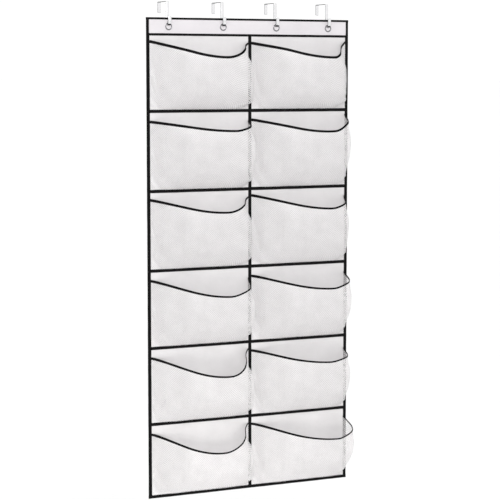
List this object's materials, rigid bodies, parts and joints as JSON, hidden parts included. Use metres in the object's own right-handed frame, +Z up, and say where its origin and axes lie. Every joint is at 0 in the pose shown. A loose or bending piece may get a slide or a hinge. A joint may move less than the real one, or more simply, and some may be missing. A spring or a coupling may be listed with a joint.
{
  "type": "shoe organizer",
  "caption": "Over-the-door hanging shoe organizer: white fabric panel with wide see-through mesh pockets, black tape edging and metal door hooks.",
  "frame": {"origin": "middle of the door's top edge, level with the underside of the hook saddles, mid-way through the door gap", "axes": "+Z up along the hanging panel, pockets face -Y, +X along the panel's width to the right"},
  "size_m": [0.634, 0.1324, 1.4058],
  "materials": {
    "nonwoven": "matt embossed non-woven",
    "header_cloth": "matt embossed non-woven",
    "mesh": "open knitted mesh",
    "lip_tape": "woven tape",
    "binding_tape": "woven tape",
    "eyelet_metal": "nickel plated",
    "hook_metal": "zinc plated"
  },
  "bodies": {
    "door_hooks": {"hook_1": "hook_metal", "hook_2": "hook_metal", "hook_3": "hook_metal", "hook_4": "hook_metal"},
    "upper_panel": {"back_panel_upper": "nonwoven", "header_band": "header_cloth", "top_binding": "binding_tape", "left_binding_upper": "binding_tape", "right_binding_upper": "binding_tape", "centre_tape_upper": "binding_tape", "header_tape": "binding_tape", "row_tape_1": "binding_tape", "row_tape_2": "binding_tape", "row_tape_3": "binding_tape", "eyelets": "eyelet_metal", "eyelet_washers": "eyelet_metal", "pocket_r1_left": "mesh", "lip_r1_left": "lip_tape", "pocket_r1_right": "mesh", "lip_r1_right": "lip_tape", "pocket_r2_left": "mesh", "lip_r2_left": "lip_tape", "pocket_r2_right": "mesh", "lip_r2_right": "lip_tape", "pocket_r3_left": "mesh", "lip_r3_left": "lip_tape", "pocket_r3_right": "mesh", "lip_r3_right": "lip_tape"},
    "lower_panel": {"back_panel_lower": "nonwoven", "bottom_binding": "binding_tape", "left_binding_lower": "binding_tape", "right_binding_lower": "binding_tape", "centre_tape_lower": "binding_tape", "row_tape_4": "binding_tape", "row_tape_5": "binding_tape", "pocket_r4_left": "mesh", "lip_r4_left": "lip_tape", "pocket_r4_right": "mesh", "lip_r4_right": "lip_tape", "pocket_r5_left": "mesh", "lip_r5_left": "lip_tape", "pocket_r5_right": "mesh", "lip_r5_right": "lip_tape", "pocket_r6_left": "mesh", "lip_r6_left": "lip_tape", "pocket_r6_right": "mesh", "lip_r6_right": "lip_tape"}
  },
  "joints": [
    {"name": "panel_swing", "type": "hinge", "parent": "door_hooks", "child": "upper_panel", "pos_m": [0, -0.0397, -0.0569], "axis": [-1, 0, 0], "range_deg": [0, 25]},
    {"name": "panel_fold", "type": "hinge", "parent": "upper_panel", "child": "lower_panel", "pos_m": [0, -0.0355, -0.7579], "axis": [1, 0, 0], "range_deg": [0, 172]}
  ]
}
